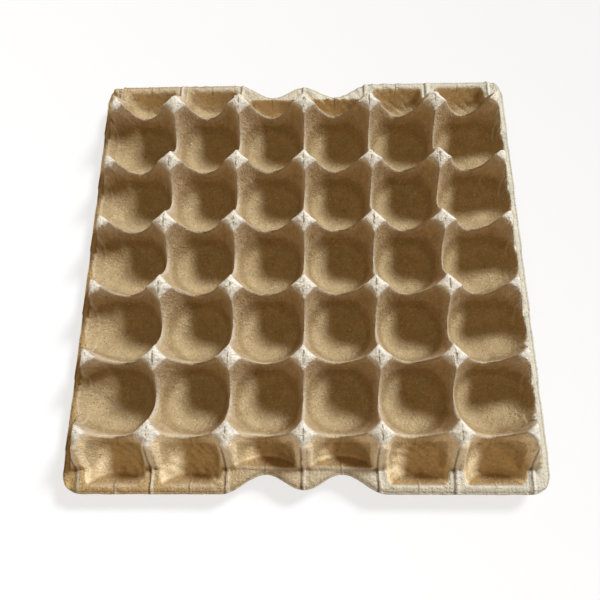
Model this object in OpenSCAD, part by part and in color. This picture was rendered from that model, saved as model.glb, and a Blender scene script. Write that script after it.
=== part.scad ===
// Moulded pulp tray with thirty cells, five rows of six, between hollow posts.
// Millimetres, +Z up. The origin is under the middle of the tray, on the
// surface that the cell floors stand on. Columns run along X and rows along Y.

/* [Cells] */
// Distance between the centres of neighbouring cells, along X and along Y
cell_pitch = 47; // [46:0.5:52]
// Number of cells along X
cell_columns = 6; // [2:2:8]
// Number of cells along Y
cell_rows = 5; // [2:1:7]
// Height at which the mouths of two neighbouring cells meet
saddle_height = 23; // [21:0.5:27]
// Radius of the curve that joins a cell's wall to its floor
floor_curve = 12; // [8:0.5:14]

/* [Posts] */
// Height of the posts, which is the height of the tray
tray_height = 42; // [40:0.5:48]
// Width of a post across the corners, just under its cap
post_width = 16; // [12:0.5:18]
// Height of the sloping cap on a post
cap_height = 3.5; // [2.5:0.25:4.5]
// Width of the flat on a cap, across the corners
cap_flat = 7; // [4:0.5:9]

/* [Rim] */
// Height of the rim's upper face
rim_height = 16.5; // [14:0.5:18.5]
// Reach of the rim beyond the outermost cells of a row
side_reach = 10.3; // [9.5:0.1:14]
// Width of the flat rim
rim_width = 5.3; // [4:0.1:6]
// Radius of the rim's corners
corner_radius = 13; // [8:0.5:18]
// Distance that the half posts stand in from the edge of the outermost cells
half_post_inset = 1.5; // [0:0.25:3]

/* [Ends] */
// Distance from the last row of posts to the end of the tray
end_length = 33.8; // [33:0.1:40]
// Amount by which an end pocket is narrower than a cell, on each side
end_narrowing = 2; // [1:0.25:3]
// Slope of the outer walls of the end pockets, from upright
wall_draft = 15; // [8:0.5:22]
// Depth of the two finger notches in each end
notch_depth = 11.7; // [8:0.1:12.5]
// Amount by which the lobe between two notches falls short of the end
lobe_setback = 2.4; // [0:0.1:4]
// Distance from a notch's deepest point to where the end is straight again
notch_run = 28; // [24:0.5:30]
// Distance over which the ridge between two end pockets falls from its post to the rim
ridge_run = 11.5; // [9:0.5:14]
// Width of the moulded seam that goes on over the rim
seam_width = 3; // [2:0.25:4]
// Height of the moulded seam over the rim
seam_height = 0.9; // [0.6:0.1:1.4]

/* [Side scoops] */
// Radius of a scoop that widens an outermost cell, at the rim
scoop_radius = 18.5; // [16:0.5:20]
// Slope of a scoop's wall, from upright
scoop_draft = 30; // [24:1:36]
// Width of the rim that is left beside a scoop
scoop_rim = 3.4; // [2.8:0.1:4]

/* [Pulp] */
// Thickness of the moulded wall
wall = 2; // [1.6:0.1:2.4]

/* [Hidden] */
pulp_colour = "#c9b48c";
circle_faces = 64;
curve_steps = 2;
notch_steps = 12;
clearance_above = 6;
below_floor = 3;
edge_gap = 0.2;
cap_lap = 0.6;
cap_root = 1;
seam_root = 1;

half_length_x = cell_columns / 2 * cell_pitch + side_reach;
last_post_y = cell_rows / 2 * cell_pitch;
half_length_y = last_post_y + end_length;
cap_base = tray_height - cap_height;
cut_top = tray_height + clearance_above;

// Radius of a cell's mouth at the caps, where four mouths leave a post between them
mouth_radius = norm([cell_pitch / 2 - post_width / 2, cell_pitch / 2]);
flare = (mouth_radius - cell_pitch / 2) / (cap_base - saddle_height);
flare_angle = atan(flare);

// Middle of an end pocket, set so that its mouth meets the last cells at the last posts
end_centre_y = last_post_y
    + sqrt((mouth_radius - end_narrowing) ^ 2 - (cell_pitch / 2 - post_width / 2) ^ 2);
end_wall_y = half_length_y - rim_width;
notch_wall_y = half_length_y - notch_depth - rim_width;
notch_x = cell_pitch / 2;

cell_x = [for (i = [0 : cell_columns - 1]) (i - (cell_columns - 1) / 2) * cell_pitch];
cell_y = [for (i = [0 : cell_rows - 1]) (i - (cell_rows - 1) / 2) * cell_pitch];
post_x = [for (i = [1 : cell_columns - 1]) (i - cell_columns / 2) * cell_pitch];
post_y = [for (i = [0 : cell_rows]) (i - cell_rows / 2) * cell_pitch];
half_post_x = cell_columns / 2 * cell_pitch - half_post_inset - cap_flat / 2;

// Y at which the ridges reach the rim
ridge_foot_y = last_post_y + post_width / 2 + ridge_run;

function unit(v) = v / norm(v);

// Inward normal of the edge from a to b of an anticlockwise outline
function inward(a, b) = unit([a.y - b.y, b.x - a.x]);

// An anticlockwise outline with every edge moved in by an amount, or out if it is negative
function inset(points, amount) = [
    for (i = [0 : len(points) - 1])
        let (before = points[(i + len(points) - 1) % len(points)],
             here = points[i],
             after = points[(i + 1) % len(points)],
             n1 = inward(before, here),
             n2 = inward(here, after))
        here + amount * (n1 + n2) / (1 + n1 * n2)
];

// Radius of a cell's wall at a height
function wall_radius(z) = cell_pitch / 2 + (z - saddle_height) * flare;

// Section of a hollow: a flat floor, a curve and a wall that leans out by an angle,
// with the radius that the straight wall would have at the floor
function hollow_section(foot_radius, lean, curve) =
    let (rise = 90 - lean, foot = foot_radius - curve * tan(rise / 2))
    concat(
        [[0, wall]],
        [for (i = [0 : curve_steps])
            let (a = rise * i / curve_steps)
            [foot + curve * sin(a), wall + curve * (1 - cos(a))]]
    );

function cell_section(narrowing) = concat(
    hollow_section(wall_radius(wall) - narrowing, flare_angle, floor_curve),
    [[wall_radius(cut_top) - narrowing, cut_top], [0, cut_top]]
);

function scoop_section() = concat(
    hollow_section(scoop_radius - (rim_height - wall) * tan(scoop_draft), scoop_draft, floor_curve),
    [[scoop_radius, rim_height], [scoop_radius, cut_top], [0, cut_top]]
);

// A hollow as a solid to take away, grown by an amount on every side
module hollow(section, grow) {
    rotate_extrude($fn = circle_faces)
        polygon([for (p = inset(section, -grow)) [max(0, p.x), p.y]]);
}

// Y of the wall that closes the pocket at an X, at the rim
function pocket_wall_y(x) = abs(x) < cell_pitch ? notch_wall_y : end_wall_y;

// A pocket beyond the last row: part of a cell, closed by a sloping flat wall
module end_pocket(x, grow) {
    lean = tan(wall_draft);
    wall_y = pocket_wall_y(x);
    translate([x, 0, 0])
        intersection() {
            translate([0, end_centre_y, 0]) hollow(cell_section(end_narrowing), grow);
            along_x(
                inset([[0, -below_floor],
                       [wall_y - (rim_height + below_floor) * lean, -below_floor],
                       [wall_y + (cut_top - rim_height) * lean, cut_top],
                       [0, cut_top]], -grow),
                2 * cell_pitch);
        }
}

// All cells, the pockets beyond the first and last rows and the scoops at the sides
module hollows(grow) {
    scoop_x = half_length_x - scoop_rim - scoop_radius;
    for (x = cell_x) {
        for (y = cell_y)
            translate([x, y, 0]) hollow(cell_section(0), grow);
        for (side = [0, 1])
            rotate(180 * side) end_pocket(x, grow);
    }
    for (side = [-1, 1], y = cell_y)
        translate([side * scoop_x, y, 0]) hollow(scoop_section(), grow);
}

// A Y-Z outline carried along X, centred
module along_x(points, width) {
    rotate([90, 0, 90])
        linear_extrude(height = width, center = true) polygon(points);
}

// An X-Z outline carried along Y, centred
module along_y(points, width) {
    rotate([90, 0, 0])
        linear_extrude(height = width, center = true) polygon(points);
}

// Outline with sloping sides, from its half width at the rim to its half width at the cap
// bases and on up at the same slope
function mound(at_rim, at_caps, level, shrink) =
    let (at_top = at_caps + (at_caps - at_rim) * (cut_top - cap_base) / (cap_base - rim_height))
    inset([[-at_rim, level - shrink], [at_rim, level - shrink], [at_rim, rim_height],
           [at_top, cut_top], [-at_top, cut_top], [-at_rim, rim_height]], shrink);

// What the posts are left standing from: a slab under the caps, filled down to a level. Its
// sides and ends slope down to the rim, and what the end pockets leave of the ends are the
// ridges.
module post_block(shrink, level) {
    intersection() {
        along_y(
            mound(half_length_x - rim_width, half_post_x + cap_flat / 2, level, shrink),
            2 * half_length_y);
        along_x(
            mound(ridge_foot_y, last_post_y + post_width / 2, level, shrink),
            2 * half_length_x);
        union() {
            translate([0, 0, level])
                linear_extrude(height = cap_base - shrink - level)
                    square([2 * half_length_x, 2 * half_length_y], center = true);
            caps(shrink);
        }
    }
}

// One sloping cap, rooted in its post. Its corners lap the crests beside the post and are
// cut by the cells, and its faces move in by the amount that it sinks.
module cap(shrink) {
    run = (post_width / 2 + cap_lap - cap_flat / 2) / cap_height;
    tall = cap_height + cap_root;
    base_width = cap_flat + 2 * run * tall;
    sink = shrink * norm([1, 1 / (run * cos(45))]);
    translate([0, 0, tray_height - tall - sink])
        linear_extrude(height = tall, scale = cap_flat / base_width, slices = 1)
            circle(d = base_width, $fn = 4);
}

module caps(shrink) {
    for (y = post_y) {
        for (x = post_x)
            translate([x, y, 0]) cap(shrink);
        for (side = [-1, 1])
            translate([side * half_post_x, y, 0]) cap(shrink);
    }
}

// Y of the end's edge at a distance from the middle column, in the front half
function end_edge(x) =
    let (bottom = half_length_y - notch_depth,
         inside = abs(x) < notch_x,
         lobe = half_length_y - lobe_setback,
         t = inside ? abs(x) / notch_x : 1 - min(1, (abs(x) - notch_x) / notch_run),
         peak = inside ? lobe : half_length_y)
    bottom + (peak - bottom) * (1 + cos(180 * t)) / 2;

// Y of the rim's edge at a distance from the middle column, with its rounded corners
function rim_edge(x) =
    let (past = max(0, abs(x) - (half_length_x - corner_radius)))
    end_edge(x) - corner_radius + sqrt(corner_radius ^ 2 - past ^ 2);

// Y at which a seam ends, just short of the rim's edge
function seam_end(x) =
    min(rim_edge(abs(x) - seam_width / 2), rim_edge(abs(x) + seam_width / 2)) - edge_gap;

// Moulded seams over the rim, from the foot of each ridge to the edge
module seams() {
    root_z = rim_height - wall / 2;
    start_y = ridge_foot_y - seam_root;
    outer_x = half_post_x + cap_flat / 2;
    for (side = [0, 1], x = concat(post_x, [-outer_x, outer_x]))
        rotate(180 * side)
            translate([x, (start_y + seam_end(x)) / 2, 0])
                along_y(
                    [[-seam_width / 2, root_z], [seam_width / 2, root_z],
                     [seam_width / 2, rim_height], [0, rim_height + seam_height],
                     [-seam_width / 2, rim_height]],
                    seam_end(x) - start_y);
}

// Outline of the rim: rounded corners and two finger notches at each end
module rim_outline() {
    wave_x = notch_x + notch_run;
    steps = 4 * notch_steps;
    wave = [for (i = [0 : steps]) let (x = wave_x * (1 - 2 * i / steps)) [x, end_edge(x)]];
    straight_x = half_length_x - corner_radius;
    straight_y = half_length_y - corner_radius;
    half = concat(
        [[half_length_x, -straight_y], [half_length_x, straight_y], [straight_x, half_length_y]],
        wave,
        [[-straight_x, half_length_y]]);
    polygon(concat(half, [for (p = half) -p]));
    for (sx = [-1, 1], sy = [-1, 1])
        translate([sx * straight_x, sy * straight_y]) circle(corner_radius, $fn = circle_faces);
}

// The form of one side of the tray, filled down from that side to a level
module form(shrink, level) {
    difference() {
        union() {
            translate([0, 0, level])
                linear_extrude(height = rim_height - shrink - level) children();
            post_block(shrink, level);
        }
        hollows(shrink);
    }
}

module pulp_tray() {
    color(pulp_colour)
        difference() {
            union() {
                form(0, 0) rim_outline();
                seams();
            }
            form(wall, -below_floor) square([4 * half_length_x, 4 * half_length_y], center = true);
        }
}

pulp_tray();
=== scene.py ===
import logging
import math
from dataclasses import dataclass, field
from enum import Enum
from functools import partial, reduce

import bpy
import numpy as np
from mathutils import Matrix

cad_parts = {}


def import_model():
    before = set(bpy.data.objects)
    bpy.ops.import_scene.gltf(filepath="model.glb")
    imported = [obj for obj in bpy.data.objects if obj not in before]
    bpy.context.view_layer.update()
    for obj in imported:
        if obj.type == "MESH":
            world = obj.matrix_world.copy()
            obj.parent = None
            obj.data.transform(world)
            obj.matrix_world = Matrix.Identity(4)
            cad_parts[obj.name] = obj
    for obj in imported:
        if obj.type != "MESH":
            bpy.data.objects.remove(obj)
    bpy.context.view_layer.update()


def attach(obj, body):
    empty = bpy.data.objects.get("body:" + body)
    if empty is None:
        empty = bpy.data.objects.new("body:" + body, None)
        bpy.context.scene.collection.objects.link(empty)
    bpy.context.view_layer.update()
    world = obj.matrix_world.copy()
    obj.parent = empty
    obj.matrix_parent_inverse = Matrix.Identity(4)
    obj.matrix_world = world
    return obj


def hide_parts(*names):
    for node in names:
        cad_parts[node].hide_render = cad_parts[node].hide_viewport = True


log = logging.getLogger("pulp_tray")

MM = 0.001
BODY = "root"
NODE = "pulp_tray"
FAR = 99.0
# Width of a wave texture's bands at a scale of 1
BAND_WIDTH = 0.314
# What the mesh keeps on each vertex for the material, and its value on the rim's edge
MARKS = {"height_over_mean": 0.0, "proud": 1.0, "cap": 0.0, "shut": 0.0, "rim_edge": 1.0}


class Face(Enum):
    """The two faces of the pulp sheet."""

    UPPER = "upper"
    UNDER = "under"


# Numbers


def soft_min(a: np.ndarray, b: np.ndarray, blend: float) -> np.ndarray:
    """The lower of two heights, with the crease between them rounded.

    The result is the minimum less a quarter of the blend times the square of how
    close the two heights are, so it is exact where they differ by more than the blend.

    Args:
        a: First height.
        b: Second height.
        blend: Difference of height over which the crease is rounded.

    Returns:
        The rounded minimum.
    """
    near = np.clip(1.0 - np.abs(a - b) / blend, 0.0, 1.0)
    return np.minimum(a, b) - near * near * blend * 0.25


def soft_max(a: np.ndarray, b: np.ndarray, blend: float) -> np.ndarray:
    """The higher of two heights, with the crease between them rounded as in soft_min."""
    return -soft_min(-a, -b, blend)


def smooth_step(t: np.ndarray) -> np.ndarray:
    """A rise from 0 to 1 that starts and ends level."""
    t = np.clip(t, 0.0, 1.0)
    return t * t * (3.0 - 2.0 * t)


def bell(distance: np.ndarray, width: float) -> np.ndarray:
    """A bell curve of height 1: e to the power of minus the square of distance by width."""
    return np.exp(-((distance / width) ** 2))


class Grain:
    """Smooth seeded randomness over the plane, for everything that the pulp did by chance."""

    def __init__(self, seed: int) -> None:
        """Draws the lattice of random values.

        Args:
            seed: Start of the random numbers, so that each run gives the same tray.
        """
        self.table = np.random.default_rng(seed).uniform(-1.0, 1.0, (256, 256))

    def at(self, x: np.ndarray, y: np.ndarray, size: float, layer: int = 0) -> np.ndarray:
        """Random heights between -1 and 1.

        Each point blends the four lattice values around it by smooth steps.

        Args:
            x: Places along X in millimetres.
            y: Places along Y in millimetres.
            size: Lattice spacing in millimetres.
            layer: Which of many unlike patterns to read.

        Returns:
            One value for each point.
        """
        u = x / size + 64.0 + 17.31 * layer
        v = y / size + 64.0 + 29.77 * layer
        i, j = np.floor(u).astype(int), np.floor(v).astype(int)
        s, t = smooth_step(u - i), smooth_step(v - j)
        i0, i1, j0, j1 = i % 256, (i + 1) % 256, j % 256, (j + 1) % 256
        low = self.table[i0, j0] * (1 - s) + self.table[i1, j0] * s
        high = self.table[i0, j1] * (1 - s) + self.table[i1, j1] * s
        return low * (1 - t) + high * t

    def of(self, i: np.ndarray, j: np.ndarray, layer: int = 0) -> np.ndarray:
        """One random value between -1 and 1 for each pair of whole numbers."""
        i, j = i.astype(int) * 7 + 31 * layer, j.astype(int) * 13 + 57 * layer
        return self.table[i % 256, j % 256]


# The tray's form


@dataclass(frozen=True)
class TrayForm:
    """Sizes of the tray in millimetres, as in the part, and the heights of its faces."""

    pitch: float = 47.0
    columns: int = 6
    rows: int = 5
    saddle_height: float = 23.0
    floor_curve: float = 20.0
    tray_height: float = 42.0
    post_width: float = 16.0
    cap_height: float = 3.5
    cap_flat: float = 7.0
    cap_lap: float = 0.6
    rim_height: float = 16.5
    side_reach: float = 10.3
    rim_width: float = 5.3
    corner_radius: float = 13.0
    half_post_inset: float = 1.5
    end_length: float = 33.8
    end_narrowing: float = 2.0
    wall_draft: float = 32.0
    pocket_draft: float = 29.0
    pocket_brim: float = 17.5
    notch_depth: float = 11.7
    lobe_setback: float = 2.4
    notch_run: float = 28.0
    ridge_run: float = 11.5
    seam_width: float = 3.0
    seam_height: float = 0.9
    scoop_radius: float = 18.5
    scoop_draft: float = 30.0
    scoop_rim: float = 3.4
    wall: float = 2.0
    edge_blend: float = 1.1
    crest_blend: float = 2.6
    pocket_blend: float = 5.5
    cap_swell: float = 9.0
    cap_reach: float = 10.0
    ridge_swell: float = 11.0
    ridge_reach: float = 7.0
    droop: float = 1.3
    fold: float = 0.85
    grain: Grain = field(default_factory=lambda: Grain(30))

    @property
    def half_x(self) -> float:
        """Half of the length along X."""
        return self.columns / 2 * self.pitch + self.side_reach

    @property
    def last_post(self) -> float:
        """Y of the last row of posts."""
        return self.rows / 2 * self.pitch

    @property
    def half_y(self) -> float:
        """Half of the length along Y."""
        return self.last_post + self.end_length

    @property
    def cap_base(self) -> float:
        """Height at which the caps start to slope."""
        return self.tray_height - self.cap_height

    @property
    def side_post(self) -> float:
        """X of the outer side of the half posts, at their tops."""
        return self.columns / 2 * self.pitch - self.half_post_inset

    @property
    def front(self) -> float:
        """Y of the foremost corner of the last caps."""
        return self.last_post + self.post_width / 2

    @property
    def ridge_foot(self) -> float:
        """Y at which the ridges reach the rim."""
        return self.front + self.ridge_run

    @property
    def mouth(self) -> float:
        """Radius of a cell at the height of the cap bases."""
        return math.hypot(self.pitch / 2 - self.post_width / 2, self.pitch / 2)

    @property
    def flare(self) -> float:
        """How much a cell's radius grows with height."""
        return (self.mouth - self.pitch / 2) / (self.cap_base - self.saddle_height)

    @property
    def end_centre(self) -> float:
        """Y of the middle of the end pockets."""
        side = self.pitch / 2 - self.post_width / 2
        return self.last_post + math.sqrt((self.mouth - self.end_narrowing) ** 2 - side**2)

    def end_edge(self, x: np.ndarray) -> np.ndarray:
        """Y of the tray's front edge at an X.

        The edge is straight beyond the notches. Each notch is a cosine wave down from
        the straight edge, and the lobe between the two is a lower cosine wave.

        Args:
            x: Places along X.

        Returns:
            The distance of the edge from the middle.
        """
        notch = self.pitch / 2
        bottom = self.half_y - self.notch_depth
        inside = np.abs(x) < notch
        beyond = 1.0 - np.clip((np.abs(x) - notch) / self.notch_run, 0.0, 1.0)
        t = np.where(inside, np.abs(x) / notch, beyond)
        peak = np.where(inside, self.half_y - self.lobe_setback, self.half_y)
        return bottom + (peak - bottom) * (1.0 + np.cos(np.pi * t)) / 2.0

    def hollow(self, r: np.ndarray, at_floor: float, lean: float, grow: float) -> np.ndarray:
        """Height of a round hollow's surface at a distance from its middle.

        A flat floor, then an arc of the floor curve, then a straight wall.

        Args:
            r: Distances from the middle.
            at_floor: Radius that the straight wall would have at the floor.
            lean: Lean of the wall from upright, in radians.
            grow: How far the hollow is grown on every side.

        Returns:
            The heights.
        """
        rise = math.pi / 2 - lean
        foot = at_floor - self.floor_curve * math.tan(rise / 2)
        big = self.floor_curve + grow
        t = r - foot
        end = big * math.sin(rise)
        arc = big - np.sqrt(np.maximum(big * big - np.clip(t, 0.0, end) ** 2, 0.0))
        return self.wall - grow + arc + np.maximum(t - end, 0.0) * math.tan(rise)

    def cell(self, r: np.ndarray, narrowing: float, grow: float) -> np.ndarray:
        """Height of a cell's surface at a distance from its middle."""
        at_floor = self.pitch / 2 + (self.wall - self.saddle_height) * self.flare - narrowing
        return self.hollow(r, at_floor, math.atan(self.flare), grow)

    def scoop(self, x: np.ndarray, y: np.ndarray, grow: float) -> np.ndarray:
        """Height of the scoop beside an outermost cell, given Y from that cell's middle.

        It is a round hollow up to the rim, and all but upright above.

        Args:
            x: Places along X.
            y: Places along Y from the cell's middle.
            grow: How far the scoop is grown on every side.

        Returns:
            The heights.
        """
        middle = self.half_x - self.scoop_rim - self.scoop_radius
        lean = math.radians(self.scoop_draft)
        at_floor = self.scoop_radius - (self.rim_height - self.wall) * math.tan(lean)
        r = np.hypot(np.abs(x) - middle, y)
        bowl = self.hollow(r, at_floor, lean, grow)
        return bowl + np.maximum(r - self.scoop_radius - grow, 0.0) * 12.0

    def hollows(self, x: np.ndarray, y: np.ndarray, grow: float) -> np.ndarray:
        """The lowest of all the hollows' surfaces over each point.

        The two nearest columns and rows of cells, the two nearest end pockets and the
        nearest scoop are joined by rounded minima. Near caps and ridges the surfaces are
        raised, which leaves those fuller.

        Args:
            x: Places along X.
            y: Places along Y.
            grow: How far the hollows are grown on every side.

        Returns:
            The heights.
        """
        p, blend = self.pitch, self.crest_blend
        far_x, far_y = (self.columns - 1) / 2, (self.rows - 1) / 2
        cx = np.clip(np.round(x / p - 0.5) + 0.5, -far_x, far_x)
        cy = np.clip(np.round(y / p), -far_y, far_y)
        nx = cx + np.where(x > cx * p, 1.0, -1.0)
        ny = cy + np.where(y > cy * p, 1.0, -1.0)
        here = self.cell(np.hypot(x - cx * p, y - cy * p), 0.0, grow)
        beside = self.cell(np.hypot(x - nx * p, y - cy * p), 0.0, grow)
        beside = np.where(np.abs(nx) > far_x, here + FAR, beside)
        behind = self.cell(np.hypot(x - cx * p, y - ny * p), 0.0, grow)
        behind = np.where(np.abs(ny) > far_y, here + FAR, behind)
        low = soft_min(soft_min(here, beside, blend), behind, blend)
        pocket = self.pocket(x, y, cx, grow)
        other = np.where(np.abs(nx) > far_x, FAR, self.pocket(x, y, nx, grow))
        low = soft_min(low, soft_min(pocket, other, blend), blend)
        low = low + self.cap_swell * np.clip(1.0 - self.from_cap(x, y) / self.cap_reach, 0.0, 1.0)
        across = np.abs(x - np.round(x / p) * p)
        along = smooth_step((np.abs(y) - self.front + 5.0) / 5.0)
        along = along * smooth_step((self.ridge_foot + 1.0 - np.abs(y)) / 8.0)
        low = low + self.ridge_swell * along * np.clip(1.0 - across / self.ridge_reach, 0.0, 1.0)
        return soft_min(low, self.scoop(x, y - cy * p, grow), blend)

    def nearest_post(self, x: np.ndarray, y: np.ndarray) -> tuple[np.ndarray, ...]:
        """The nearest post's column and row, and X and Y from its middle.

        Args:
            x: Places along X.
            y: Places along Y.

        Returns:
            Column, row, X and Y.
        """
        half = self.side_post - self.cap_flat / 2
        column = np.clip(np.round(x / self.pitch), -self.columns / 2, self.columns / 2)
        row = np.clip(np.round(y / self.pitch - 0.5) + 0.5, -self.rows / 2, self.rows / 2)
        middle = np.clip(column * self.pitch, -half, half)
        return column, row, x - middle, y - row * self.pitch

    def from_cap(self, x: np.ndarray, y: np.ndarray) -> np.ndarray:
        """Distance from the middle of the nearest cap, as |dx| + |dy|; 8 mm is its outline."""
        _, _, dx, dy = self.nearest_post(x, y)
        return np.abs(dx) + np.abs(dy)

    def pocket(self, x: np.ndarray, y: np.ndarray, column: np.ndarray, grow: float) -> np.ndarray:
        """Height of an end pocket: its bowl and its wall, joined by a rounded maximum."""
        return soft_max(*self.pocket_faces(x, y, column, grow), self.pocket_blend)

    def pocket_faces(
        self, x: np.ndarray, y: np.ndarray, column: np.ndarray, grow: float
    ) -> tuple[np.ndarray, np.ndarray]:
        """Heights of an end pocket's bowl, part of a round hollow, and of its flat end wall.

        Above the pocket's brim the bowl is as steep as a cell, and below it is gentler.

        Args:
            x: Places along X.
            y: Places along Y.
            column: Which column the pocket stands in.
            grow: How far the hollow is grown on every side.

        Returns:
            The heights of the bowl and of the wall.
        """
        lean = math.radians(self.wall_draft)
        setback = np.where(np.abs(column) < 1.0, self.notch_depth, 0.0)
        wall_y = self.half_y - self.rim_width - setback
        r = np.hypot(x - column * self.pitch, np.abs(y) - self.end_centre)
        draft = math.radians(self.pocket_draft)
        at_brim = self.pitch / 2 - self.end_narrowing
        at_brim = at_brim + (self.pocket_brim - self.saddle_height) * self.flare
        at_floor = at_brim - (self.pocket_brim - self.wall) * math.tan(draft)
        gentle = self.hollow(r, at_floor, draft, grow)
        bowl = soft_max(self.cell(r, self.end_narrowing, grow), gentle, 2.5)
        wall = self.rim_height + (np.abs(y) - wall_y - grow / math.cos(lean)) / math.tan(lean)
        return bowl, wall

    def caps(self, x: np.ndarray, y: np.ndarray, shrink: float) -> np.ndarray:
        """Height of the sloping diamond caps.

        Each cap falls from a flat with the distance of |dx| + |dy|. Each is a little
        lower, turned, tilted and off its place, as moulded pulp is.

        Args:
            x: Places along X.
            y: Places along Y.
            shrink: How far the faces move in.

        Returns:
            The heights.
        """
        g = self.grain
        column, row, dx, dy = self.nearest_post(x, y)
        i, j = column + 10, np.round(row + 10)
        dx = dx - 0.25 * g.of(i, j, 1)
        dy = dy - 0.35 * g.of(i, j, 2)
        turn = 0.08 * g.of(i, j, 3)
        dx, dy = dx - turn * dy, dy + turn * dx
        run = (self.post_width / 2 + self.cap_lap - self.cap_flat / 2) / self.cap_height
        away = np.sqrt(dx * dx + 0.12) + np.sqrt(dy * dy + 0.12) - 0.5
        fall = soft_max((away - self.cap_flat / 2) / run, 0.07 * away, 0.7)
        sink = shrink * math.hypot(1.0, math.sqrt(2.0) / run)
        drop = 0.35 + 0.3 * g.of(i, j, 4)
        tilt = 0.05 * (g.of(i, j, 5) * dx + g.of(i, j, 6) * dy)
        return self.tray_height - sink - drop + tilt - fall

    def block(self, x: np.ndarray, y: np.ndarray, shrink: float) -> np.ndarray:
        """Height of what the posts are left standing from.

        A slab under the caps, whose sides and ends slope down to the rim. What the end
        pockets leave of the sloping ends are the ridges.

        Args:
            x: Places along X.
            y: Places along Y.
            shrink: How far its faces move in.

        Returns:
            The heights.
        """
        rise = self.cap_base - self.rim_height
        side_fall = rise / (self.half_x - self.rim_width - self.side_post)
        end_fall = rise / self.ridge_run
        side = self.rim_height + (self.half_x - self.rim_width - np.abs(x)) * side_fall
        end = self.rim_height + (self.ridge_foot - np.abs(y)) * end_fall
        side = side - shrink * math.hypot(1.0, side_fall)
        end = end - shrink * math.hypot(1.0, end_fall)
        top = np.maximum(self.caps(x, y, shrink), self.cap_base - 0.8 - shrink)
        return soft_min(soft_min(top, side, 1.5), end, 1.0)

    def flange(self, x: np.ndarray, y: np.ndarray) -> np.ndarray:
        """What moulding and use add to the flat rim.

        It droops to its edge, with a groove before the lip. A slanting fold crosses the
        side rim beside each cell: behind it the rim falls gently, and in front of it the
        rim drops and stays low up to the next half post.

        Args:
            x: Places along X.
            y: Places along Y.

        Returns:
            The heights to add.
        """
        g, p = self.grain, self.pitch
        near = soft_min(self.half_x - np.abs(x), self.end_edge(x) - np.abs(y), 3.0)
        sag = -self.droop * np.clip(1.0 - near / (0.65 * self.rim_width), 0.0, 1.0)
        lip = -0.3 * bell(near - 1.15, 0.7)
        row = np.round((y - 8.0) / p)
        past = np.abs(x) - (self.half_x - self.rim_width)
        shift = 6.0 + 2.0 * g.of(row + 10, np.sign(x) + 5, 9)
        w = y - row * p - shift - 1.6 * np.clip(past, -2.0, self.rim_width)
        behind = np.clip(1.0 - w / 13.0, 0.0, 1.0)
        ahead = 1.0 - 1.5 * smooth_step(-w / 2.2) - 0.5 * smooth_step((-w - 2.0) / 9.0)
        ahead = ahead + 1.0 * smooth_step((-w - 11.0) / 8.0)
        wave = np.where(w > 0, behind, ahead)
        on_side = smooth_step((past + 3.5) / 3.0)
        waves = 0.3 * g.at(x, y, 38.0, 4) + 0.16 * g.at(x, y, 15.0, 5)
        return waves + sag + lip + self.fold * wave * on_side

    def seams(self, x: np.ndarray, y: np.ndarray, surface: np.ndarray) -> np.ndarray:
        """What the moulded seams add to the upper face.

        A fine rib with a groove on its left runs down each ridge. From the foot of the
        ridge a broader rib runs over the rim. A crease crosses each cap, and fainter
        lines run down the posts and down the middle of the end pockets.

        Args:
            x: Places along X.
            y: Places along Y.
            surface: Height of the face without them.

        Returns:
            The heights to add.
        """
        p, g = self.pitch, self.grain
        column = np.round(x / p)
        outer = np.abs(column) > self.columns / 2 - 0.5
        line = np.where(outer, np.sign(x) * self.side_post, column * p)
        off = x - line - 0.4 * g.at(x, y, 16.0, 3)
        on_end = smooth_step((np.abs(y) - self.front + 1.0) / 3.0)
        on_rim = smooth_step((np.abs(y) - self.ridge_foot + 1.0) / 3.0)
        tall = 0.8 * on_end * (1.0 - on_rim) * ~outer + self.seam_height * on_rim
        broad = self.seam_width * (1.0 + 0.3 * np.clip(x / 94.0, -1.0, 1.0)) / 2
        rib = tall * np.clip(1.3 - np.abs(off) / broad * 1.3, 0.0, 1.0)
        groove = -0.6 * on_end * bell(off + 1.9, 0.8)
        crease = -0.3 * smooth_step((surface - self.cap_base) / 1.5) * bell(off, 0.6) * ~outer
        mid = (np.floor(x / p) + 0.5) * p
        past = smooth_step((np.abs(y) - self.last_post) / 4.0)
        centre = x - mid - 0.4 * g.at(x, y, 16.0, 17)
        past = past * smooth_step((surface - 8.0) / 5.0)
        faint = past * (0.18 * bell(centre - 0.8, 0.9) - 0.2 * bell(centre + 0.8, 0.9))
        valley = 0.3 * (np.abs(y) < self.front) * smooth_step((36.0 - surface) / 4.0)
        valley = valley * smooth_step((surface - 8.0) / 4.0) * ~outer
        return rib + groove + crease + faint + valley * bell(off, 0.9)

    def wrinkles(self, x: np.ndarray, y: np.ndarray, surface: np.ndarray) -> np.ndarray:
        """Soft wrinkles that the wet pulp took as it was drawn down the walls.

        Waves about 4.5 mm long run across a slanting direction, bent by broad
        randomness, and come and go over a few centimetres.

        Args:
            x: Places along X.
            y: Places along Y.
            surface: Height of the face without them.

        Returns:
            The heights to add.
        """
        g = self.grain
        phase = (0.55 * x + 0.45 * y + 0.5 * surface) / 4.5 * 2 * math.pi
        there = smooth_step(g.at(x, y, 17.0, 22) * 2.0 - 0.2)
        deep = smooth_step((self.cap_base - surface) / 6.0)
        ending = smooth_step((np.abs(y) - self.last_post) / 5.0)
        tall = (0.14 + 0.24 * ending) * there * deep
        return tall * np.sin(phase + 5.0 * g.at(x, y, 19.0, 23))

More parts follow.
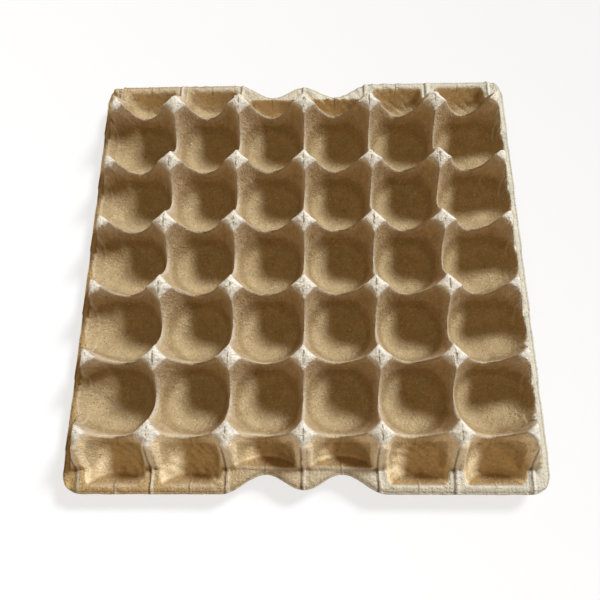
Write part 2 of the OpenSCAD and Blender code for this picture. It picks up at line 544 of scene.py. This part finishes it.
    def surfaces(self, x: np.ndarray, y: np.ndarray, face: Face) -> tuple:
        """The two heights that meet in a face, over points that chance has bent a little.

        Args:
            x: Places along X in millimetres.
            y: Places along Y in millimetres.
            face: Which face.

        Returns:
            The height of rim, block and caps, the height of the hollows, and the bent
            X and Y.
        """
        g = self.grain
        shrink = 0.0 if face is Face.UPPER else self.wall
        inside = smooth_step((self.half_x - 2.0 - np.abs(x)) / 8.0)
        inside = inside * smooth_step((self.end_edge(x) - 2.0 - np.abs(y)) / 8.0)
        fine = 0.22 if face is Face.UPPER else 0.1
        bx = x + inside * (0.5 * g.at(x, y, 30.0, 6) + fine * g.at(x, y, 6.5, 10))
        by = y + inside * (0.5 * g.at(x, y, 30.0, 7) + fine * g.at(x, y, 6.5, 11))
        if face is Face.UPPER:
            bx = bx + inside * 0.1 * g.at(x, y, 2.6, 12)
            by = by + inside * 0.1 * g.at(x, y, 2.6, 13)
        rim = self.rim_height - shrink + self.flange(x, y)
        solid = soft_max(rim, self.block(bx, by, shrink), 1.5)
        return solid, self.hollows(bx, by, shrink), bx, by

    def height(self, x: np.ndarray, y: np.ndarray, face: Face) -> np.ndarray:
        """Height of a face of the tray over each point.

        The rim, the block and the caps are joined by a maximum, and the hollows are cut
        from them by a rounded minimum. The under face is the same with every surface
        moved in by the wall.

        Args:
            x: Places along X in millimetres.
            y: Places along Y in millimetres.
            face: Which face.

        Returns:
            The heights in millimetres.
        """
        solid, hollow, bx, by = self.surfaces(x, y, face)
        z = soft_min(solid, hollow, self.edge_blend)
        if face is Face.UPPER:
            g = self.grain
            z = z + self.seams(bx, by, z) + self.wrinkles(x, y, z)
            z = z + 0.08 * g.at(x, y, 3.4, 14) + 0.05 * g.at(x, y, 1.9, 15)
        return z


# The mesh


def placed(name: str, data: bpy.types.ID) -> bpy.types.Object:
    """Puts a mesh, a light or a camera into the scene.

    Args:
        name: The object's name.
        data: The mesh, light or camera.

    Returns:
        The object.
    """
    thing = bpy.data.objects.new(name, data)
    bpy.context.scene.collection.objects.link(thing)
    return thing


@dataclass(frozen=True)
class PulpShell:
    """The tray as one closed sheet: a fine upper face, a coarser under face and the rim's edge."""

    form: TrayForm = field(default_factory=TrayForm)
    steps_per_cell: int = 42
    side_steps: int = 10
    end_steps: int = 30
    coarser: int = 2

    def lines(self, half: float, inner: float, inner_steps: int, outer_steps: int) -> np.ndarray:
        """Grid lines along one side: even over the cells and even over each border.

        Args:
            half: Half of the side.
            inner: Half of the part that the cells take up.
            inner_steps: Steps over the cells.
            outer_steps: Steps over each border.

        Returns:
            The lines' places.
        """
        middle = np.linspace(-inner, inner, inner_steps + 1)
        border = np.linspace(inner, half, outer_steps + 1)[1:]
        return np.concatenate([-border[::-1], middle, border])

    def grid(self) -> tuple[np.ndarray, np.ndarray]:
        """A grid of points bent to the tray's outline.

        Rows near the ends bend to follow the notches, and the square at each corner is
        bent to a quarter disc: x = a * sqrt(1 - b*b/2) and y = b * sqrt(1 - a*a/2).

        Returns:
            X and Y of each grid point.
        """
        f = self.form
        xs = self.lines(
            f.half_x, f.columns / 2 * f.pitch, f.columns * self.steps_per_cell, self.side_steps
        )
        ys = self.lines(f.half_y, f.last_post, f.rows * self.steps_per_cell, self.end_steps)
        x, y = np.meshgrid(xs, ys, indexing="ij")
        start = f.last_post + 4.5
        pull = smooth_step((np.abs(y) - start) / (f.half_y - start))
        y = y + np.sign(y) * (f.end_edge(x) - f.half_y) * pull
        r = f.corner_radius
        a = np.clip((np.abs(x) - (f.half_x - r)) / r, 0.0, 1.0)
        b = np.clip((np.abs(y) - (f.half_y - r)) / r, 0.0, 1.0)
        corner = (a > 0) & (b > 0)
        round_x = np.sign(x) * (f.half_x - r + r * a * np.sqrt(1 - b * b / 2))
        round_y = np.sign(y) * (f.half_y - r + r * b * np.sqrt(1 - a * a / 2))
        return np.where(corner, round_x, x), np.where(corner, round_y, y)

    def settled(self, x: np.ndarray, y: np.ndarray, face: Face) -> np.ndarray:
        """Points on a face, drawn onto its creases.

        Tangent planes are taken at five places round each point, and the point moves to
        where it lies closest to all of them, which is on the crease where there is one.
        It moves less than half a step, and points on the outline keep their place.

        Args:
            x: X of the grid.
            y: Y of the grid.
            face: Which face.

        Returns:
            An array of places, one row for each grid point.
        """
        step_x = np.abs(np.gradient(x, axis=0))
        step_y = np.abs(np.gradient(y, axis=1))
        tiny, hold = 0.04, 0.06
        planes = np.zeros(x.shape + (3, 3))
        sides, middle = np.zeros(x.shape + (3,)), np.zeros(x.shape + (3,))
        places = ((0.0, 0.0), (-0.42, -0.42), (0.42, -0.42), (-0.42, 0.42), (0.42, 0.42))
        for ox, oy in places:
            px, py = x + ox * step_x, y + oy * step_y
            z = self.form.height(px, py, face)
            dx = (self.form.height(px + tiny, py, face) - z) / tiny
            dy = (self.form.height(px, py + tiny, face) - z) / tiny
            normal = np.stack([-dx, -dy, np.ones_like(z)], axis=-1)
            normal /= np.linalg.norm(normal, axis=-1, keepdims=True)
            point = np.stack([px, py, z], axis=-1)
            middle += point / len(places)
            planes += normal[..., :, None] * normal[..., None, :]
            sides += normal * np.sum(normal * point, axis=-1, keepdims=True)
        planes += hold * np.eye(3)
        sides += hold * middle
        best = np.linalg.solve(planes, sides[..., None])[..., 0]
        for axis, (at, step) in enumerate(((x, step_x), (y, step_y))):
            best[..., axis] = np.clip(best[..., axis], at - 0.45 * step, at + 0.45 * step)
        edge = np.zeros(x.shape, bool)
        edge[0], edge[-1], edge[:, 0], edge[:, -1] = True, True, True, True
        best[edge] = np.stack([x, y, self.form.height(x, y, face)], axis=-1)[edge]
        return best

    @staticmethod
    def ring(shape: tuple[int, int], offset: int) -> np.ndarray:
        """Vertex numbers round a grid's border, anticlockwise seen from above.

        Args:
            shape: The grid's size.
            offset: Number of its first vertex.

        Returns:
            The numbers, each once.
        """
        n = np.arange(shape[0] * shape[1]).reshape(shape) + offset
        return np.concatenate([n[:-1, 0], n[-1, :-1], n[:0:-1, -1], n[0, :0:-1]])

    def build(self) -> bpy.types.Object:
        """Makes the tray's mesh.

        Returns:
            The tray's object, at the origin, with its place in its mesh.
        """
        x, y = self.grid()
        top = self.settled(x, y, Face.UPPER)
        k = self.coarser
        low = self.settled(x[::k, ::k], y[::k, ::k], Face.UNDER)
        rough = self.form.grain
        rim = self.ring(top.shape[:2], 0)
        edge = top.reshape(-1, 3)[rim]
        outward = self.outward(edge)
        fibres = rough.at(edge[:, 0], edge[:, 1], 1.7, 20)
        tufts = rough.at(edge[:, 0], edge[:, 1], 7.0, 21)
        frayed = 0.12 * fibres + 0.14 * tufts
        belly = edge + outward * (0.22 + frayed)[:, None]
        belly[:, 2] -= 0.55 * self.form.wall
        hem = edge + outward * (0.05 + frayed)[:, None]
        hem[:, 2] -= 0.95 * self.form.wall
        points = [top.reshape(-1, 3), belly, hem, low.reshape(-1, 3)]
        starts = np.cumsum([0] + [len(p) for p in points])
        belly_ring = np.arange(len(rim)) + starts[1]
        hem_ring = np.arange(len(rim)) + starts[2]
        low_ring = self.ring(low.shape[:2], starts[3])
        sheets = [self.sheet(top.shape[:2], 0, True), self.sheet(low.shape[:2], starts[3], False)]
        edges = [self.band(belly_ring, rim), self.band(hem_ring, belly_ring)]
        quads = np.concatenate(sheets + edges)
        fan = self.joined(hem_ring, low_ring, k)
        vertices = np.concatenate(points) * MM
        mesh = bpy.data.meshes.new(NODE + "_pulp")
        mesh.from_pydata(vertices, [], quads.tolist() + fan.tolist())
        mesh.polygons.foreach_set("use_smooth", np.ones(len(mesh.polygons), bool))
        mesh.update()
        self.mark(mesh, top, starts)
        piece = placed(NODE + "_pulp", mesh)
        log.info("tray: %d faces", len(mesh.polygons))
        return piece

    def mark(self, mesh: bpy.types.Mesh, top: np.ndarray, starts: np.ndarray) -> None:
        """Keeps on each vertex what the material needs to know of its place.

        `height_over_mean` is the height over the mean of the heights about 3 mm away, so crests are
        positive and grooves negative. `proud` is 1 on rim, ridges and caps, 0 on the
        walls of the hollows and a half on the crease between them. `cap` is 1 on the
        diamond caps and a half on their outlines. `shut` is 1 on the flat walls that
        close the end pockets. `rim_edge` is 1 on the outline and falls to 0 three steps
        in. The under face carries none.

        Args:
            mesh: The tray's mesh.
            top: Places of the upper face's grid.
            starts: Number of the first vertex of each part.
        """
        x, y, z = top[..., 0], top[..., 1], top[..., 2]
        padded, mean = np.pad(z, 3, mode="edge"), np.zeros_like(z)
        for sx, sy in ((3, 0), (-3, 0), (0, 3), (0, -3), (2, 2), (2, -2), (-2, 2), (-2, -2)):
            mean += padded[3 + sx : 3 + sx + z.shape[0], 3 + sy : 3 + sy + z.shape[1]] / 8
        solid, hollow, _, _ = self.form.surfaces(x, y, Face.UPPER)
        last_column = (self.form.columns - 1) / 2
        column = np.clip(np.round(x / self.form.pitch - 0.5) + 0.5, -last_column, last_column)
        bowl, wall = self.form.pocket_faces(x, y, column, 0.0)
        i, j = np.indices(z.shape)
        steps = np.minimum.reduce([i, j, z.shape[0] - 1 - i, z.shape[1] - 1 - j])
        upper = (
            np.clip((z - mean) / 1.6, -1.0, 1.0),
            np.clip(0.5 + (hollow - solid) / 2.0, 0.0, 1.0),
            np.clip(0.5 + (8.3 - self.form.from_cap(x, y)) / 2.4, 0.0, 1.0),
            np.clip(0.5 + (wall - bowl) / 9.0, 0.0, 1.0) * (np.abs(y) > self.form.last_post),
            np.clip(1.0 - steps / 3.0, 0.0, 1.0),
        )
        for values, (name, on_edge) in zip(upper, MARKS.items()):
            mark = np.zeros(len(mesh.vertices), np.float32)
            mark[: starts[1]] = values.ravel()
            mark[starts[1] : starts[3]] = on_edge
            mesh.attributes.new(name, "FLOAT", "POINT").data.foreach_set("value", mark)

    @staticmethod
    def outward(edge: np.ndarray) -> np.ndarray:
        """Level directions that point out of a closed ring of points.

        Args:
            edge: The points, anticlockwise seen from above.

        Returns:
            A direction of length 1 for each.
        """
        along = np.roll(edge, -1, axis=0) - np.roll(edge, 1, axis=0)
        out = np.stack([along[:, 1], -along[:, 0], np.zeros(len(edge))], axis=-1)
        return out / np.maximum(np.linalg.norm(out, axis=-1, keepdims=True), 1e-9)

    @staticmethod
    def sheet(shape: tuple[int, int], offset: int, up: bool) -> np.ndarray:
        """Four-sided faces of a grid.

        Args:
            shape: The grid's size.
            offset: Number of its first vertex.
            up: Whether the faces look up.

        Returns:
            Four vertex numbers for each face.
        """
        n = np.arange(shape[0] * shape[1]).reshape(shape) + offset
        a, b, c, d = n[:-1, :-1], n[1:, :-1], n[1:, 1:], n[:-1, 1:]
        order = (a, b, c, d) if up else (a, d, c, b)
        return np.stack(order, axis=-1).reshape(-1, 4)

    @staticmethod
    def band(lower: np.ndarray, upper: np.ndarray) -> np.ndarray:
        """Four-sided faces between two rings of as many vertices, facing out."""
        return np.stack([lower, np.roll(lower, -1), np.roll(upper, -1), upper], axis=-1)

    @staticmethod
    def joined(fine: np.ndarray, coarse: np.ndarray, times: int) -> np.ndarray:
        """Triangles between a fine ring and a coarse ring with every so many of its points.

        Args:
            fine: Vertex numbers of the fine ring, above.
            coarse: Vertex numbers of the coarse ring, below.
            times: How many fine steps make a coarse one.

        Returns:
            Three vertex numbers for each triangle.
        """
        after = np.roll(coarse, -1)
        half = times // 2
        parts = []
        for s in range(times):
            a = fine[s::times]
            b = np.roll(fine, -1)[s::times]
            parts.append(np.stack([a, coarse if s < half else after, b], axis=-1))
        middle = fine[half::times]
        parts.append(np.stack([coarse, after, middle], axis=-1))
        return np.concatenate(parts)


# Finishes


Value = float | tuple | str | bpy.types.NodeSocket


def linear(code: str) -> tuple[float, ...]:
    """Turns an sRGB hex colour into linear values with full opacity."""
    values = [int(code[i : i + 2], 16) / 255 for i in (1, 3, 5)]
    return (*(v / 12.92 if v <= 0.04045 else ((v + 0.055) / 1.055) ** 2.4 for v in values), 1.0)


def add(
    tree: bpy.types.NodeTree, kind: str, *inputs: Value, out: str = "", **named: Value | bool
) -> bpy.types.NodeSocket | None:
    """Adds a node with its settings and links.

    Args:
        tree: The node tree.
        kind: The node's type, without the words that all types start with.
        inputs: Values, hex colours or output sockets for the inputs in use, in order.
        out: Name of the output to give back; otherwise it is the first in use.
        named: Settings, by names in small letters, and inputs, by names that start with
            a capital, with a low line for each space.

    Returns:
        The output socket, if the node has one.
    """
    node = tree.nodes.new("ShaderNode" + kind)
    for name in filter(str.islower, named):
        setattr(node, name, named[name])
    sockets = list(zip((socket for socket in node.inputs if socket.enabled), inputs))
    sockets += [(node.inputs[n.replace("_", " ")], named[n]) for n in named if not n.islower()]
    for socket, value in sockets:
        if isinstance(value, bpy.types.NodeSocket):
            tree.links.new(value, socket)
        else:
            socket.default_value = linear(value) if isinstance(value, str) else value
    given = [socket for socket in node.outputs if socket.enabled and out in ("", socket.name)]
    return given[0] if given else None


def empty_tree(owner: bpy.types.Material | bpy.types.World) -> bpy.types.NodeTree:
    """Gives a material or a world a node tree with nothing in it.

    Args:
        owner: The material or world.

    Returns:
        The tree.
    """
    owner.use_nodes = True
    owner.node_tree.nodes.clear()
    return owner.node_tree


def seen_directly(tree: bpy.types.NodeTree) -> bpy.types.NodeSocket:
    """A value that is 1 for rays from the camera, mirrored and transmitted ones included."""
    rays = (add(tree, "LightPath", out=f"Is {k} Ray") for k in ("Camera", "Glossy", "Transmission"))
    return reduce(partial(add, tree, "Math", operation="ADD", use_clamp=True), rays)


class Speckle(Enum):
    """Random patterns of the pulp: size in millimetres, fineness, contrast and relief.

    The cloud makes the edge of the painted lit side of the rim uneven, the mottle is
    clots, the blots smudge the caps, the breaks interrupt the painted shade of their
    creases and the crowds vary the specks' size.
    """

    CLOUD = (26.0, 2.0)
    MOTTLE = (9.0, 3.0, 0.5)
    PEBBLE = (2.4, 3.0, 0.44, 0.5)
    FIBRE = (0.9, 4.0, 0.7, 0.42)
    STREAK = (1.6, 3.0, 0.4, 0.34)
    BLOT = (1.9, 3.0)
    BREAK = (4.0, 2.0)
    CROWD = (5.0, 1.0)
    FLUFF = (1.3, 2.0)

    def __init__(
        self, size_mm: float, detail: float, contrast: float = 0.0, relief: float = 0.0
    ) -> None:
        """Keeps the four numbers under their names."""
        self.size_mm, self.detail, self.contrast, self.relief = size_mm, detail, contrast, relief


@dataclass(frozen=True)
class MouldedPulp:
    """Grey board pulp sucked onto a wire mesh and dried in the air.

    That gives the eye a dull, pebbly, fibrous face: grey and pale on the caps, partly
    from rubbing and partly as painted light where they face up, tan on the rim with the
    mesh printed into it, and browner on the walls. Painted shade darkens the walls
    towards the floors of the hollows, the grooves and the front pockets' end walls;
    painted light brightens the front pockets, the back pockets' end walls, the right and
    back of the rim, the raised slopes and the crests.
    """

    name: str = "moulded_pulp"
    # Pale caps: partly rubbing of the pulp, partly painted light on their upward faces.
    cap: str = "#e6dcc8"
    smudge: str = "#a8977a"
    flat: str = "#b99966"
    # Painted light: the rim paler towards the right and the back, where the key light falls.
    painted_lit_side: str = "#d8d0bb"
    # Painted light: raised slopes above the rim paler, most at the front, where they face away from
    # the key.
    ridge: str = "#f7dbab"
    wall: str = "#bea27a"
    # Painted light: the front pockets, and more faintly the back pockets' end walls, paler than the
    # cells.
    pocket: str = "#f0d6a8"
    # Painted shadow on the flat end walls of the front pockets.
    painted_end_wall_shadow: str = "#a98a5c"
    # Painted shade: the walls darker towards the floors of the hollows.
    painted_depth_shade: str = "#b39a70"
    # Painted shade in grooves, and the real print of the mould's wires.
    crease_shade_and_print: str = "#8d6f3f"
    # Painted shade of the drawn crease lines, and real dark specks.
    line: str = "#5d4727"
    # Painted highlights on crests and drawn lines, and real pale fluff.
    pale_fleck_and_highlight: str = "#f2eadb"
    roughness: float = 0.96
    ior: float = 1.45
    specular: float = 0.25
    speck_mm: float = 2.1
    mesh_mm: float = 2.2
    relief_mm: float = 1.8
    form: TrayForm = field(default_factory=TrayForm)

    def build(self) -> bpy.types.Material:
        """Makes the material.

        Returns:
            The material.
        """
        material = bpy.data.materials.new(self.name)
        PulpLook(self, empty_tree(material)).join()
        return material


class PulpLook:
    """Where on the tray the pulp is pale, dark, abraded, printed or raised, and where light and shade
    are painted on it, worked out by nodes.
    """

    def __init__(self, finish: MouldedPulp, tree: bpy.types.NodeTree) -> None:
        """Finds where on the tray a point lies, and the patterns.

        `out` is the distance along Y from the middle. `top` is 1 on rim, ridges and caps,
        `high` at the caps, `ending` beyond the last posts and `front` before the first.

        Args:
            finish: The colours and sizes.
            tree: The material's node tree.
        """
        self.finish, self.form = finish, finish.form
        self.put = put = partial(add, tree)
        last, base = self.form.last_post, self.form.cap_base
        place = put("TexCoord", out="Object")
        self.mm = put("VectorMath", place, operation="SCALE", Scale=1.0 / MM)
        self.x, self.y, self.z = (put("SeparateXYZ", self.mm, out=axis) for axis in "XYZ")
        self.up = put("SeparateXYZ", put("NewGeometry", out="Normal"), out="Z")
        self.out = put("Math", self.y, operation="ABSOLUTE")
        self.mark = {name: put("Attribute", attribute_name=name, out="Fac") for name in MARKS}
        self.top = self.band(self.mark["proud"], 0.25, 0.7)
        self.high = self.band(self.z, base - 3.0, base - 0.5)
        self.ending = self.band(self.out, last - 3.0, last + 3.0)
        self.front = self.band(self.y, 3.0 - last, -3.0 - last)
        upright = put("VectorMath", self.mm, (1.0, 1.0, 0.2), operation="MULTIPLY")
        self.noise = {}
        for speckle in Speckle:
            where = {"Vector": upright if speckle is Speckle.STREAK else self.mm}
            where["Scale"] = 1.0 / speckle.size_mm
            self.noise[speckle] = put("TexNoise", Detail=speckle.detail, Roughness=0.6, **where)

    def times(self, *factors: Value) -> Value:
        """The product of two or more values."""
        return reduce(partial(self.put, "Math", operation="MULTIPLY"), factors)

    def strongest(self, *values: Value) -> Value:
        """The greatest of two or more values."""
        return reduce(partial(self.put, "Math", operation="MAXIMUM"), values)

    def band(self, value: Value, low: float, high: float) -> Value:
        """Spreads the values from low to high over 0 to 1, smoothly."""
        return self.put("MapRange", value, low, high, interpolation_type="SMOOTHSTEP")

    def spread(self, value: Value, factor: float, start: Value) -> Value:
        """A value times a factor, added to another."""
        return self.put("Math", value, factor, start, operation="MULTIPLY_ADD")

    def layered(self, colour: Value, *layers: tuple[Value, Value]) -> Value:
        """Lays colours over a colour.

        Args:
            colour: The colour below.
            layers: An amount and a colour for each layer, in order.

        Returns:
            The mixed colour.
        """
        for amount, above in layers:
            colour = self.put("Mix", amount, colour, above, data_type="RGBA")
        return colour

    def lines(self, place: Value, start: float) -> Value:
        """Signed distance from the nearest of a row of lines a pitch apart.

        Args:
            place: Places across the lines in millimetres.
            start: Place of one of the lines.

        Returns:
            The distance in millimetres, a little uneven.
        """
        half = self.form.pitch / 2
        bent = self.spread(self.noise[Speckle.MOTTLE], 2.0, -1.0 - start)
        moved = self.put("Math", bent, place, operation="ADD")
        return self.put("Math", moved, half, -half, operation="WRAP")

    def stroke(self, distance: Value, at: float, width: float) -> Value:
        """A drawn line: 1 at a distance and 0 beyond its half width from there."""
        beside = self.put("Math", distance, at, operation="SUBTRACT")
        return self.band(self.put("Math", beside, operation="ABSOLUTE"), width, width * 0.2)

    def ground(self) -> Value:
        """Colours by place, with painted light and shade in them.

        Painted shade: walls darker towards the floors, the front pockets' end walls
        darker and grooves darker. Painted light: the front pockets and the back pockets'
        end walls paler, the rim paler to the right and the back, raised slopes paler, the
        caps pale where they face up, and crests pale, both partly from rubbing.

        Returns:
            The colour.
        """
        f, rim, height_over_mean = self.finish, self.form.rim_height, self.mark["height_over_mean"]
        shut = self.band(self.mark["shut"], 0.3, 0.9)
        # Painted light: the front pockets paler, and the back pockets' end walls half as much.
        painted_pocket_light = self.strongest(self.times(self.front, 0.85), self.times(shut, self.ending, 0.5))
        low = self.layered(
            f.wall,
            # Painted shade: darker towards the floors of the hollows.
            (self.band(self.z, 25.0, 5.0), f.painted_depth_shade),
            (painted_pocket_light, f.pocket),
            # Painted shadow: the front pockets' end walls darker.
            (self.times(shut, self.front), f.painted_end_wall_shadow),
        )
        # Painted light: the rim paler to the right and the back, with an uneven edge.
        side = self.spread(self.noise[Speckle.CLOUD], 60.0, self.spread(self.y, 0.3, self.x))
        # Painted light: raised slopes above the rim paler, most at the front.
        above = self.times(self.band(self.z, rim + 0.5, rim + 5.0), self.spread(self.front, 0.5, 0.25))
        proud = self.layered(f.flat, (self.band(side, -130.0, 130.0), f.painted_lit_side), (above, f.ridge))
        # Caps pale where they face up: partly rubbing, partly painted light.
        level = self.band(self.up, 0.35, 0.6)
        lit_and_rubbed_cap_tops = self.times(self.band(self.mark["cap"], 0.35, 0.6), self.high, level)
        blot = self.band(self.noise[Speckle.BLOT], 0.4, 0.66)
        rubbed_and_lit_cap = self.layered(f.cap, (self.times(blot, 0.75), f.smudge))
        # Crests pale, partly from rubbing and partly as painted highlights.
        worn_and_highlit_crests = self.times(self.band(height_over_mean, 0.3, 0.9), self.spread(lit_and_rubbed_cap_tops, 0.35, 0.15))
        # Painted shade in grooves.
        groove = self.times(self.band(height_over_mean, -0.3, -0.9), 0.45)
        return self.layered(
            low, (self.top, proud), (lit_and_rubbed_cap_tops, rubbed_and_lit_cap), (worn_and_highlit_crests, f.pale_fleck_and_highlight), (groove, f.crease_shade_and_print)
        )

    def shade(self) -> Value:
        """Uneven grey around 1 from clots, pebbles, fibres and streaks of pulp.

        Returns:
            The grey, to multiply the colour by.
        """
        contrasts = ((self.noise[s], s.contrast) for s in Speckle if s.contrast)
        shade = self.times(*(self.spread(noise, c, 1.0 - c / 2) for noise, c in contrasts))
        return self.put("CombineColor", shade, shade, shade)

    def drawn(self) -> tuple[Value, Value]:
        """Fine lines, each at its strength.

        Dark lines are painted shade: in the caps' creases, on one side of the pockets'
        middle lines, in the gutters beside the seams and in the groove before the lip.
        Pale lines are painted highlights on what stands up beside them, the seams
        themselves, the lines down the posts and the lip.

        Returns:
            How dark and how pale the lines are.
        """
        pitch, front, edge = self.form.pitch, self.form.front, self.mark["rim_edge"]
        column, centre = self.lines(self.x, 0.0), self.lines(self.x, pitch / 2)
        row = self.put("Math", self.lines(self.y, pitch / 2), operation="ABSOLUTE")
        below = self.put("Math", 1.0, self.top, operation="SUBTRACT")
        broken = self.band(self.noise[Speckle.BREAK], 0.42, 0.56)
        at_post = self.times(self.band(row, 6.0, 3.5), self.top, self.high)
        in_pocket = self.times(self.ending, self.band(self.z, 10.0, 16.0))
        on_ridge = self.times(self.band(self.out, front - 1.0, front + 2.0), self.top)
        on_post = self.times(below, self.band(self.z, 6.0, 14.0))
        # Painted shade along the creases, the gutters beside the seams and the groove before the lip.
        dark = self.strongest(
            self.times(self.stroke(column, 0.0, 0.75), at_post, broken, 0.7),
            self.times(self.stroke(centre, -0.6, 0.8), in_pocket, 0.3),
            self.times(self.stroke(column, -1.7, 1.0), on_ridge, 0.6),
            self.times(self.band(edge, 0.42, 0.62), self.band(edge, 0.86, 0.7), 0.35),
        )
        # Painted highlights on the seams, the lines down the posts, the pockets' middle lines and the
        # lip.
        pale = self.strongest(
            self.times(self.stroke(centre, 0.7, 0.8), in_pocket, 0.2),
            self.times(self.stroke(column, 0.2, 1.3), on_ridge, 0.55),
            self.times(self.stroke(column, 0.0, 1.0), on_post, 0.22),
            self.times(self.band(edge, 0.88, 1.0), 0.35),
        )
        return dark, pale

    def flecks(self) -> tuple[Value, Value]:
        """Dark specks of print and bark, of many sizes, and pale fluff.

        Returns:
            Where the dark and the pale flecks are.
        """
        away = self.put("TexVoronoi", Vector=self.mm, Scale=1.0 / self.finish.speck_mm)
        size = self.spread(self.noise[Speckle.CROWD], 0.46, -0.12)
        outside = self.put("Math", away, size, operation="SUBTRACT")
        return self.band(outside, 0.03, -0.03), self.band(self.noise[Speckle.FLUFF], 0.6, 0.72)

    def printed(self) -> Value:
        """The wires of the mould, printed into the level rim: one set strong, one faint.

        The wires of a real mould are about 0.5 mm apart, too fine to show: drawn coarser.

        Returns:
            How deep the print is.
        """
        waves = {"Vector": self.mm, "Scale": BAND_WIDTH / self.finish.mesh_mm, "Distortion": 1.2}
        wires = partial(self.put, "TexWave", out="Fac", Detail=1.0, Detail_Scale=0.3, **waves)
        both = self.spread(wires(bands_direction="Y"), 0.4, wires(bands_direction="X"))
        return self.times(both, self.band(self.z, 21.0, 18.5), self.top, self.band(self.up, 0.6, 0.9))

    def join(self) -> None:
        """Joins the colours and the relief in a shader."""
        f = self.finish
        (dark, pale), (speck, fluff), printed = self.drawn(), self.flecks(), self.printed()
        toned = {"data_type": "RGBA", "blend_type": "MULTIPLY"}
        colour = self.layered(
            self.put("Mix", 1.0, self.ground(), self.shade(), **toned),
            # Painted shade and highlights of the drawn lines, then real specks, fluff and print.
            (dark, f.line),
            (pale, f.pale_fleck_and_highlight),
            (self.times(speck, 0.6), f.line),
            (self.times(fluff, 0.4), f.pale_fleck_and_highlight),
            (self.times(printed, 0.06), f.crease_shade_and_print),
        )
        heights = [(self.noise[s], s.relief) for s in Speckle if s.relief]
        heights += [(printed, -0.04), (speck, -0.3), (dark, -0.25)]
        relief = 0.0
        for pattern, share in heights:
            relief = self.spread(pattern, share, relief)
        bump = self.put("Bump", Strength=1.0, Distance=f.relief_mm * MM, Height=relief)
        shader = self.put(
            "BsdfPrincipled",
            Base_Color=colour,
            Roughness=f.roughness,
            IOR=f.ior,
            Specular_IOR_Level=f.specular,
            Normal=bump,
        )
        self.put("OutputMaterial", Surface=shader)


@dataclass(frozen=True)
class PaleFloor:
    """Matt white board under the tray; seen directly, a share of it is plain white, which thins its
    soft shadow.
    """

    name: str = "pale_floor"
    colour: str = "#fcfbf9"
    glow: float = 0.74

    def build(self) -> bpy.types.Material:
        """Makes the material: seen directly, a share of it is plain white.

        Returns:
            The material.
        """
        material = bpy.data.materials.new(self.name)
        put = partial(add, empty_tree(material))
        matt = put("BsdfDiffuse", Color=self.colour, Roughness=1.0)
        white = put("Emission", Color="#ffffff", Strength=1.0)
        share = put("Math", seen_directly(material.node_tree), self.glow, operation="MULTIPLY")
        put("OutputMaterial", Surface=put("MixShader", share, matt, white))
        return material


# The studio


@dataclass(frozen=True)
class Viewpoint:
    """The photograph's viewpoint, in cell pitches from the middle of the post tops."""

    pitch_mm: float = 47.0
    top_mm: float = 42.0
    focal_px: float = 615.0
    image_px: float = 600.0
    elevation: float = 70.82
    swing: float = 4.52
    roll: float = -4.63
    distance: float = 8.31
    aim_x: float = -0.043
    aim_y: float = -0.732
    sensor_mm: float = 36.0

    def build(self) -> None:
        """Makes the camera.

        Its back direction comes from elevation and swing, its right from the cross
        product with up, and both right and up are then rolled.
        """
        e, s, r = (math.radians(v) for v in (self.elevation, self.swing, self.roll))
        back = np.array([math.sin(s) * math.cos(e), -math.cos(s) * math.cos(e), math.sin(e)])
        right = np.cross(-back, [0.0, 0.0, 1.0])
        right /= np.linalg.norm(right)
        up = np.cross(right, -back)
        turned_right = math.cos(r) * right + math.sin(r) * up
        turned_up = -math.sin(r) * right + math.cos(r) * up
        place = np.array([self.aim_x, self.aim_y, 0.0]) + back * self.distance
        place = (place * self.pitch_mm + [0.0, 0.0, self.top_mm]) * MM
        data = bpy.data.cameras.new("viewpoint")
        data.sensor_width = self.sensor_mm
        data.lens = self.sensor_mm * self.focal_px / self.image_px
        data.clip_start = 0.01
        camera = placed("viewpoint", data)
        columns = np.stack([turned_right, turned_up, back, place], axis=-1)
        camera.matrix_world = Matrix(columns.tolist() + [[0.0, 0.0, 0.0, 1.0]])
        bpy.context.scene.camera = camera


@dataclass(frozen=True)
class Studio:
    """A white floor, a soft key light from the right and behind, and warm fill all round."""

    floor_half: float = 3.0
    floor_drop_mm: float = 0.1
    key_strength: float = 3.75
    key_colour: tuple[float, float, float] = (0.9, 1.0, 1.12)
    key_spread: float = 14.0
    key_elevation: float = 45.0
    key_azimuth: float = 40.0
    fill_strength: float = 0.33
    fill_colour: tuple[float, float, float] = (1.0, 0.74, 0.45)
    floor: PaleFloor = field(default_factory=PaleFloor)

    def build(self) -> None:
        """Makes the floor, the key light and the fill."""
        h, z = self.floor_half, -self.floor_drop_mm * MM
        mesh = bpy.data.meshes.new("floor")
        mesh.from_pydata([(-h, -h, z), (h, -h, z), (h, h, z), (-h, h, z)], [], [(0, 1, 2, 3)])
        mesh.materials.append(self.floor.build())
        floor = placed("floor", mesh)
        e, a = math.radians(self.key_elevation), math.radians(self.key_azimuth)
        data = bpy.data.lights.new("key", "SUN")
        data.energy = self.key_strength
        data.color = self.key_colour
        data.angle = math.radians(self.key_spread)
        placed("key", data).rotation_euler = (0.0, math.pi / 2 - e, a)
        world = bpy.data.worlds.new("fill")
        put = partial(add, empty_tree(world))
        sky = put("Background", Color=(*self.fill_colour, 1.0), Strength=self.fill_strength)
        white = put("Background", Color="#ffffff", Strength=1.0)
        put("OutputWorld", Surface=put("MixShader", seen_directly(world.node_tree), sky, white))
        bpy.context.scene.world = world
        bpy.context.scene.view_settings.view_transform = "Standard"


def main() -> None:
    """Builds the tray, dresses it and sets up the studio."""
    logging.basicConfig(level=logging.INFO, format="%(name)s: %(message)s")
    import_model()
    tray = PulpShell().build()
    tray.data.materials.append(MouldedPulp().build())
    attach(tray, BODY)
    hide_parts(NODE)
    Studio().build()
    Viewpoint().build()


if __name__ == "__main__":
    main()
